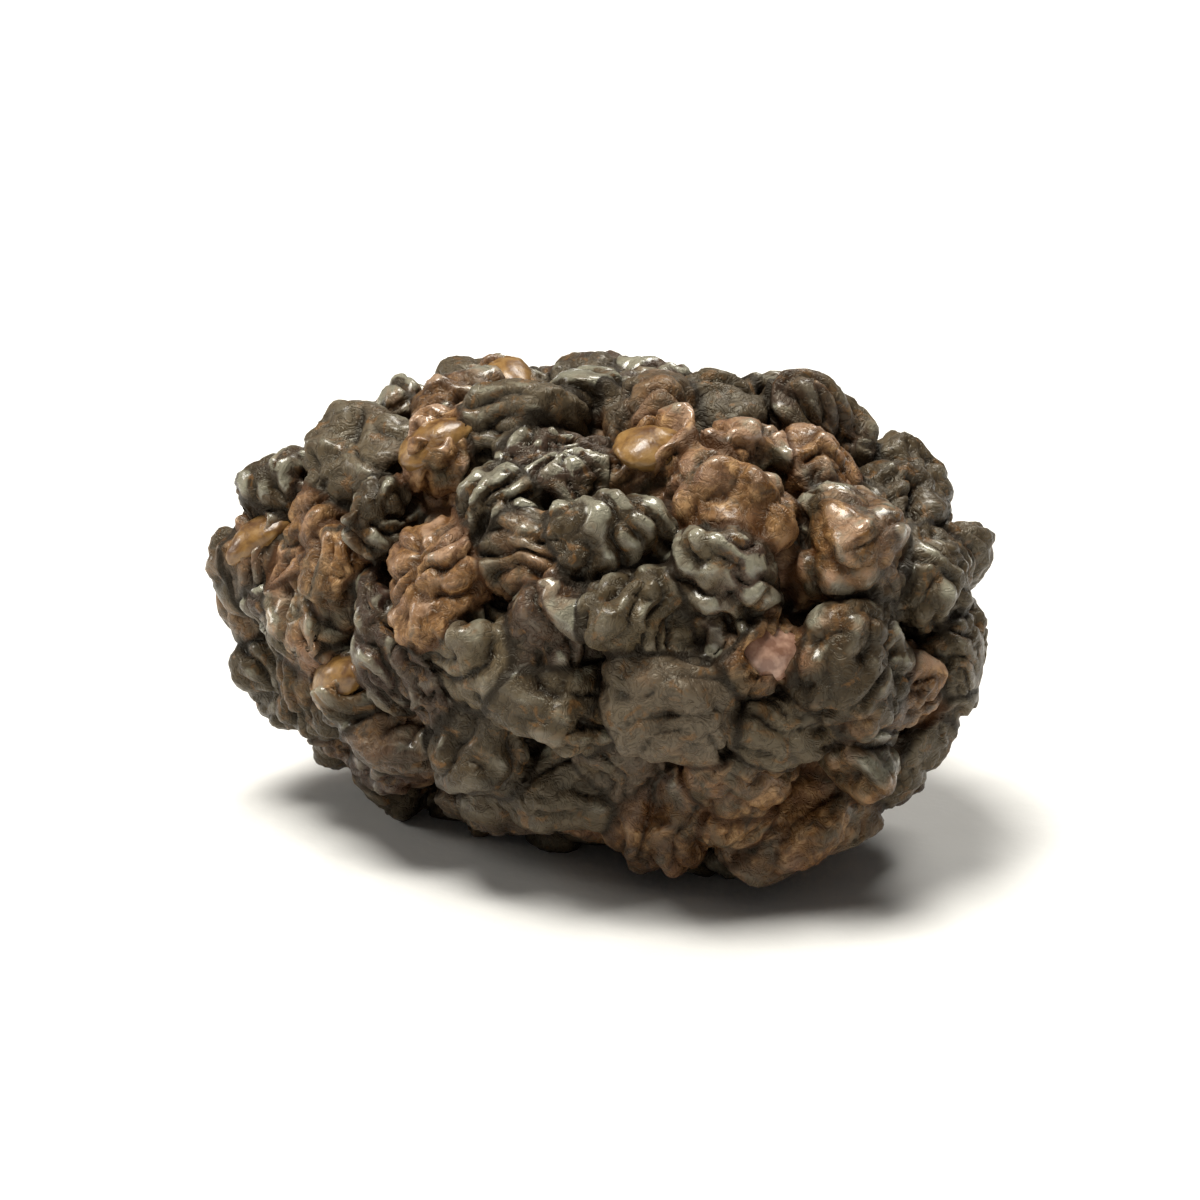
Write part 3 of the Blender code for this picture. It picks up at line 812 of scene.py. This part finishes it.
def seed_pockets(corners, normals, seeds):
    """The corners with the skin sunk round each seed and its torn rim raised, and how near a seed each is."""
    corners, torn = corners.copy(), np.zeros(len(corners))
    ragged = noise_from(TORN_CHANCE)(RAGGED_FINE * corners)
    for seed in seeds:
        local, facing = over_seed(seed, corners, normals)
        away = np.hypot(local[:, 0], local[:, 1]) + POCKET_RAGGED * ragged
        sunk = facing * (1 - step_up(away, *POCKET_EDGE))
        rim = facing * np.exp(-(((away - RIM_AT) / RIM_WIDTH) ** 2))
        corners += np.outer(POCKET_RIM * rim - POCKET_DEPTH * sunk, seed.axes[2])
        torn = np.maximum(torn, facing * (1 - step_up(away, POCKET_EDGE[0], TORN_TO)))
    return corners, torn


def grown_together(skin):
    """Runs the drupelets and the core into one skin."""
    grown = skin.modifiers.new("grown_together", "REMESH")
    grown.mode = "VOXEL"
    grown.voxel_size = SKIN_VOXEL
    return applied(skin)


def pressed_flatter(skin, corners):
    """The corners, with the drupelets' tops pressed in towards the body and the crevices partly filled."""
    lumps = relaxed(skin, corners, LUMP_ROUNDS)
    body = relaxed(skin, lumps, BODY_ROUNDS)
    move_corners(skin.data, body)
    bulging = step_up(((lumps - body) * corner_vectors(skin.data, "normal")).sum(axis=1), *BULGES)
    lost = CREVICES_FILLED + (TOPS_PRESSED - CREVICES_FILLED) * bulging
    return corners + lost[:, None] * (body - lumps)


def paint_skin(skin, looks, owner, apart, raised, torn):
    """Keeps what the skin's material reads at each corner: how deep the skin lies, for painted shade, how
    high, for painted pale crests and glints, and how rusty or torn it is.
    """
    mesh = skin.data
    corners, normals = corner_vectors(mesh), corner_vectors(mesh, "normal")
    around = relaxed(skin, corners, CREVICE_ROUNDS)
    # How sunken the skin is and how near a seam: these set where shade is painted, and the seam roughens the
    # skin too
    paint_corners(mesh, "crevice", 0.5 + ((around - corners) * normals).sum(axis=1) / CREVICE_DEPTH)
    paint_corners(mesh, "seam", 1 - step_up(apart, 0, SEAM_WIDTH))
    paint_corners(mesh, "torn", torn)

    ends = edge_ends(mesh)
    least, more = RUST_VARIED
    patches = 0.5 + noise_from(RUST_CHANCE)(RUST_FINE * corners)
    paint_corners(mesh, "rust", spread(looks["rust"][owner] * (least + more * patches), ends, RUST_ROUNDS))
    for name in ("smooth", "light", "purple"):
        paint_corners(mesh, name, spread(looks[name][owner], ends, COLOUR_ROUNDS))

    # Crest paleness, part a dry bloom and part painted sheen; and the glint, which sets the coat's gloss and
    # a painted highlight, more on skin that faces up
    bloom_and_sheen = looks["bloom_and_sheen"][owner]
    paint_corners(mesh, "crest", raised / CREST_FULL * (CREST_LEAST + (1 - CREST_LEAST) * bloom_and_sheen))
    open_to_light = GLINT_LEAST + (1 - GLINT_LEAST) * step_up(normals[:, 2], *FACING_UP)
    paint_corners(mesh, "glint", raised / CREST_FULL * open_to_light * bloom_and_sheen)


def add_skin(drupelets, seeds, turn, shift):
    """The fruit's whole skin, as one piece: crumpled lumps with crevices between them."""
    looks = drupelet_looks(len(drupelets))
    skin = shown("wrinkled_skin", skin_blank(drupelets, turn, shift))
    mesh = grown_together(skin)
    corners = relaxed(skin, corner_vectors(mesh), STEP_ROUNDS)
    owner, apart = owners(corners, drupelets)
    corners = pressed_flatter(skin, corners)
    warp = noise_from(WARP_CHANCE)
    corners += sum(far * warp.vector(corners / length) for far, length in WARPS)

    move_corners(mesh, corners)
    normals = corner_vectors(mesh, "normal")
    raised = wrinkles(corners, drupelets, looks, owner, apart)
    corners = held_back(relaxed(skin, corners + raised[:, None] * normals, LAST_ROUNDS, LAST_SHARE))
    seat_seeds(seeds, corners, normals)
    corners, torn = seed_pockets(corners, normals, seeds)
    corners[:, 2] = np.maximum(corners[:, 2], 0)
    move_corners(mesh, corners)
    paint_skin(skin, looks, owner, apart, raised, torn)

    fewer = skin.modifiers.new("fewer", "DECIMATE")
    fewer.ratio = min(1.0, SKIN_TRIANGLES / (2 * len(mesh.polygons)))
    mesh = applied(skin)
    keep_outside(mesh)
    mesh.transform(Matrix.Scale(MM, 4))
    mesh.shade_smooth()
    mesh.name = skin.name
    return skin


def add_seeds(seeds):
    """The seeds that show in split skin: flat, pointed, keeled and finely pitted."""
    corners, faces = globe(SEED_SUBDIVISIONS)
    noise = noise_from(PIT_CHANCE)
    layers = []
    for k, seed in enumerate(seeds):
        shape = corners * (1 + SEED_PITS * noise(PITS_FINE * corners + SEEDS_APART * k))[:, None]
        shape[:, 2] *= 1 - SEED_KEEL * np.hypot(shape[:, 0], shape[:, 1]) ** 2
        shape[:, 0] *= 1 - SEED_TAPER * shape[:, 1]
        layers.append(seed.middle + shape * seed.half @ seed.axes)
    every_face = [faces + len(corners) * k for k in range(len(layers))]
    mesh = mesh_of("seeds", np.vstack(layers), np.vstack(every_face))
    paint_corners(mesh, "pink", np.repeat(np.isin(np.arange(len(seeds)), PINK_SEEDS), len(corners)))
    mesh.shade_smooth()
    return shown("seeds", mesh)


def add_stalk(turn, shift):
    """The stub of the stalk: a bent, grooved rod with a broken end, its root sunk in the skin."""
    out = unit(np.array(STALK_TOWARDS))
    side = unit(np.cross(out, [0.0, 0.0, 1.0]))
    over = np.cross(side, out)
    length = STALK_ROOT + STALK_LENGTH
    root = on_body(out[None, :])[0] - out * STALK_ROOT
    noise = noise_from(STALK_CHANCE)
    share = np.repeat(np.linspace(0, 1, STALK_RINGS), STALK_SIDES)
    around = np.tile(np.arange(STALK_SIDES) * math.tau / STALK_SIDES, STALK_RINGS)
    ring = np.stack([np.cos(around), np.sin(around), 0 * around], axis=1)
    girth = np.interp(share, *np.array(STALK_GIRTHS).T)
    along = np.outer(share, [0, 0, GROOVE_CHANGES])
    groove = sum(strong * noise(fine * ring + fast * along) for strong, fine, fast in GROOVE_NOISES)
    girth = STALK_THINNER * STALK_RADIUS * girth * (1 + STALK_GROOVES * groove)
    centre = root + np.outer(length * share, out) - np.outer(STALK_SAG * share**2, over)
    corners = centre + (girth * ring[:, 0])[:, None] * side + (girth * ring[:, 1])[:, None] * over
    last = len(corners) - STALK_SIDES
    ragged = noise(TIP_FINE * ring[last:] + TIP_APART)
    corners[last:] += np.outer(STALK_RAGGED * ragged, out)

    shape = bmesh.new()
    rows = [shape.verts.new(point) for point in corners @ turn.T + shift]
    for k in range(STALK_RINGS - 1):
        for s in range(STALK_SIDES):
            a, b = k * STALK_SIDES + s, k * STALK_SIDES + (s + 1) % STALK_SIDES
            shape.faces.new([rows[a], rows[b], rows[b + STALK_SIDES], rows[a + STALK_SIDES]])
    middle = corners[last:].mean(axis=0) - out * STALK_CUPPED
    tip = shape.verts.new(turn @ middle + shift)
    for s in range(STALK_SIDES):
        shape.faces.new([rows[last + s], rows[last + (s + 1) % STALK_SIDES], tip])
    shape.faces.new(reversed(rows[:STALK_SIDES]))
    mesh = bpy.data.meshes.new("stalk")
    shape.to_mesh(mesh)
    shape.free()
    paint_corners(mesh, "groove", np.append(0.5 + 0.5 * groove, TIP_GROOVE))
    mesh.shade_smooth()
    return shown("stalk", mesh)


class Paint:
    """A Principled material and short ways to add the nodes that colour it."""

    def __init__(self, name):
        self.material = bpy.data.materials.new(name)
        self.material.use_nodes = True
        self.tree = self.material.node_tree
        self.shader = self.tree.nodes["Principled BSDF"]

    def link(self, value, socket):
        """Joins an output to a socket, or sets the socket where the value is a plain one."""
        if isinstance(value, bpy.types.NodeSocket):
            self.tree.links.new(value, socket)
        elif isinstance(value, tuple):
            socket.default_value = (*value, 1)
        else:
            socket.default_value = value

    def set(self, **values):
        for name, value in values.items():
            self.link(value, self.shader.inputs[name.replace("_", " ")])

    def at_corner(self, name):
        node = self.tree.nodes.new("ShaderNodeAttribute")
        node.attribute_name = name
        return node.outputs["Fac"]

    def noise(self, size, detail=3.0, roughness=0.6, bent=0.0):
        """Cloudy noise with features of about this size, in metres."""
        place = self.tree.nodes.new("ShaderNodeTexCoord")
        node = self.tree.nodes.new("ShaderNodeTexNoise")
        settings = {"Scale": 1 / size, "Detail": detail, "Roughness": roughness, "Distortion": bent}
        for name, value in settings.items():
            node.inputs[name].default_value = value
        self.tree.links.new(place.outputs["Object"], node.inputs["Vector"])
        return node.outputs["Fac"]

    def ramp(self, value, *stops):
        """A colour, or a share as a grey, for each value."""
        node = self.tree.nodes.new("ShaderNodeValToRGB")
        while len(node.color_ramp.elements) < len(stops):
            node.color_ramp.elements.new(0.5)
        for element, (place, colour) in zip(node.color_ramp.elements, stops):
            element.position = place
            element.color = (*colour, 1) if isinstance(colour, tuple) else (colour, colour, colour, 1)
        self.tree.links.new(value, node.inputs["Fac"])
        return node.outputs["Color"]

    def mixed(self, share, first, second):
        node = self.tree.nodes.new("ShaderNodeMix")
        node.data_type = "RGBA"
        self.link(share, node.inputs[0])
        self.link(first, node.inputs[6])
        self.link(second, node.inputs[7])
        return node.outputs[2]

    def product(self, first, second):
        node = self.tree.nodes.new("ShaderNodeMath")
        node.operation = "MULTIPLY"
        self.link(first, node.inputs[0])
        self.link(second, node.inputs[1])
        return node.outputs[0]

    def bump(self, height, depth):
        """Fine relief of this depth, in metres."""
        node = self.tree.nodes.new("ShaderNodeBump")
        node.inputs["Distance"].default_value = depth
        self.link(height, node.inputs["Height"])
        self.link(node.outputs["Normal"], self.shader.inputs["Normal"])


def plain_skin(paint):
    """Brown clouds, paler on some drupelets, purple on some, and greyer where the skin is smooth."""
    cloud = paint.noise(0.9 * MM, detail=4, bent=0.5)
    dark = paint.ramp(cloud, (0.35, INK), (0.65, DARK_BROWN))
    pale = paint.ramp(cloud, (0.35, BROWN), (0.65, PALE_BROWN))
    base = paint.mixed(paint.at_corner("light"), dark, pale)
    varied = paint.ramp(paint.noise(1.2 * MM), (0.35, 0.6), (0.65, 1.2))
    purple = paint.ramp(paint.product(paint.at_corner("purple"), varied), (0.50, 0.0), (0.80, 0.75))
    base = paint.mixed(purple, base, PURPLE_BROWN)
    return paint.mixed(paint.at_corner("smooth"), base, GREY_BROWN)


def with_rust(paint, base, rust):
    """The colour, with rust where the skin is thin or torn, flesh in the rust, and small flecks all over."""
    thin = paint.ramp(paint.noise(0.5 * MM, detail=4, bent=0.8), (0.36, DARK_RUST), (0.50, RUST),
                      (0.66, PALE_RUST))
    flesh = paint.ramp(paint.noise(1.3 * MM, detail=2), (0.45, 0.0), (0.65, 0.6))
    thin = paint.mixed(flesh, thin, FLESH)
    base = paint.mixed(paint.ramp(rust, (0.28, 0.0), (0.70, 0.9)), base, thin)
    flecks = paint.ramp(paint.noise(0.42 * MM, bent=0.9), (0.57, 0.0), (0.66, 0.7))
    base = paint.mixed(flecks, base, FLECK)
    return paint.mixed(paint.ramp(paint.at_corner("torn"), (0.1, 0.0), (0.9, 0.9)), base, thin)


def with_painted_shade(paint, base, rusty, creases):
    """The colour, with shade painted in: darker in creases, in crevices, and in the seams between drupelets.
    """
    deep = paint.mixed(rusty, PAINTED_SHADE, RUSTY_PAINTED_SHADE)
    base = paint.mixed(paint.ramp(creases, (0.0, 0.45), (0.5, 0.0)), base, deep)
    base = paint.mixed(paint.ramp(paint.at_corner("crevice"), (0.46, 0.0), (0.74, 0.95)), base, deep)
    return paint.mixed(paint.ramp(paint.at_corner("seam"), (0.15, 0.0), (0.80, 0.95)), base, deep)


def with_crests(paint, base, rusty, glint):
    """The colour, paler on crests with a dry bloom and painted sheen, tan where they are rusty, and with a
    painted highlight where they glint.
    """
    crest = paint.ramp(paint.at_corner("crest"), (0.35, 0.0), (1.0, 0.5))
    base = paint.mixed(crest, base, paint.mixed(rusty, CREST_BLOOM_AND_SHEEN_GREY, CREST_BLOOM_AND_SHEEN_TAN))
    painted_glint = paint.mixed(rusty, PAINTED_GLINT_GREY, PAINTED_GLINT_TAN)
    return paint.mixed(paint.ramp(glint, (0.3, 0.0), (1.0, 0.6)), base, painted_glint)


def skin_material():
    """Dark, leathery dried skin: rust in the folds and thin places, greyish on fold crests, part a dry bloom
    and part painted sheen.
    """
    paint = Paint("dried_skin")
    patchy = paint.ramp(paint.noise(0.75 * MM, detail=4, bent=0.6), (0.32, 0.35), (0.60, 1.4))
    rust = paint.product(paint.at_corner("rust"), patchy)
    rusty = paint.ramp(rust, (0.25, 0.0), (0.6, 1.0))
    creases = paint.ramp(paint.noise(0.34 * MM, bent=1.2), (0.40, 1.0), (0.50, 0.0), (0.60, 1.0))
    wet = paint.ramp(paint.noise(0.6 * MM), (0.36, 0.35), (0.56, 1.0))
    # The glint sets the coat's gloss and a painted highlight on the crests
    glint = paint.product(paint.ramp(paint.at_corner("glint"), (0.08, 0.0), (0.5, 1.0)), wet)
    # Shade is painted into creases, crevices and seams; crests get a pale bloom, painted sheen and painted
    # highlights
    base = with_rust(paint, plain_skin(paint), rust)
    base = with_crests(paint, with_painted_shade(paint, base, rusty, creases), rusty, glint)
    paint.set(Base_Color=base, Coat_Weight=glint, Coat_Roughness=0.16)
    paint.set(Specular_IOR_Level=0.35, Specular_Tint=SHEEN_TINT)

    gloss = paint.ramp(paint.noise(0.5 * MM, detail=4), (0.35, 0.28), (0.65, 0.52))
    paint.set(Roughness=paint.mixed(paint.at_corner("seam"), gloss, SEAM_ROUGHNESS))
    grain = paint.noise(0.12 * MM, detail=4, roughness=0.7, bent=1.0)
    paint.bump(paint.mixed(0.4, creases, grain), SKIN_BUMP)
    return paint.material


def seed_material():
    """Seed coat: amber with browner clouds, or pinkish on some, waxy."""
    paint = Paint("seed_coat")
    brown, amber, pale = AMBERS
    base = paint.ramp(paint.noise(0.5 * MM, detail=4, bent=0.5), (0.35, brown), (0.55, amber), (0.75, pale))
    dark, light = PINKS
    pink = paint.ramp(paint.noise(0.4 * MM), (0.4, dark), (0.62, light))
    base = paint.mixed(paint.at_corner("pink"), base, pink)
    paint.set(Base_Color=base, Specular_IOR_Level=0.5, Coat_Weight=0.2, Coat_Roughness=0.15)
    paint.set(Roughness=paint.ramp(paint.noise(0.3 * MM), (0.4, 0.3), (0.65, 0.48)))
    paint.bump(paint.noise(0.12 * MM), SEED_BUMP)
    return paint.material


def stalk_material():
    """Dry stalk: grey-brown, darker in its grooves and paler on its ridges."""
    paint = Paint("dry_stalk")
    dark, light = STALK_GROOVE_TONES
    groove_tones = paint.ramp(paint.at_corner("groove"), (0.3, dark), (0.7, light))
    dark, light = STALK_CLOUDS
    clouds = paint.ramp(paint.noise(0.4 * MM, detail=4), (0.4, dark), (0.7, light))
    paint.set(Base_Color=paint.mixed(0.35, groove_tones, clouds))
    paint.set(Roughness=paint.ramp(paint.noise(0.3 * MM), (0.3, 0.6), (0.7, 0.8)))
    paint.bump(paint.noise(0.09 * MM), STALK_BUMP)
    return paint.material


def floor_material():
    """Pale matt paper."""
    paint = Paint("pale_floor")
    dark, light = PAPERS
    paint.set(Base_Color=paint.ramp(paint.noise(2 * MM, detail=4), (0.3, dark), (0.7, light)), Roughness=0.9)
    paint.bump(paint.noise(0.3 * MM), FLOOR_BUMP)
    return paint.material


def add_floor():
    half = FLOOR_WIDTH / 2
    corners = np.array([[-half, -half, 0], [half, -half, 0], [half, half, 0], [-half, half, 0]])
    floor = shown("floor", mesh_of("floor", corners, np.array([[0, 1, 2, 3]])))
    floor.data.materials.append(floor_material())


def add_light(name, place, width, power):
    """A square soft box that faces the fruit."""
    light = shown(name, bpy.data.lights.new(name, "AREA"))
    light.data.size = width
    light.data.energy = power
    light.data.color = LIGHT_COLOUR
    light.location = place
    light.rotation_mode = "QUATERNION"
    light.rotation_quaternion = (Vector(LOOK_AT) - Vector(place)).to_track_quat("-Z", "Y")


def add_studio():
    """Soft light from above, from behind and from the left, in a pale room."""
    world = bpy.data.worlds.new("room")
    world.use_nodes = True
    world.node_tree.nodes["Background"].inputs["Color"].default_value = (1, 1, 1, 1)
    world.node_tree.nodes["Background"].inputs["Strength"].default_value = ROOM_LIGHT
    bpy.context.scene.world = world
    for light in SOFT_BOXES:
        add_light(*light)


def add_camera():
    """The photograph's viewing angle, close enough for one fruit to fill most of the frame."""
    right, up, back = (Vector(axis) for axis in seen_axes())
    camera = shown("camera", bpy.data.cameras.new("camera"))
    camera.data.lens = CAMERA_LENS
    camera.data.clip_start = 1 * MM
    camera.location = Vector(LOOK_AT) + back * CAMERA_AWAY
    camera.rotation_mode = "QUATERNION"
    camera.rotation_quaternion = Matrix((right, up, back)).transposed().to_quaternion()
    bpy.context.scene.camera = camera
    bpy.context.scene.view_settings.view_transform = "Standard"


def dress_fruit():
    drupelets, seeds, turn, shift = laid_out()
    pieces = (
        (add_skin(drupelets, seeds, turn, shift), "skin", skin_material()),
        (add_seeds(seeds), "seed", seed_material()),
        (add_stalk(turn, shift), "stalk", stalk_material()),
    )
    for piece, slot, material in pieces:
        piece.data.materials.clear()
        piece.data.materials.append(material)
        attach(piece, BODY)
        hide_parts(NODE)


dress_fruit()
add_floor()
add_studio()
add_camera()
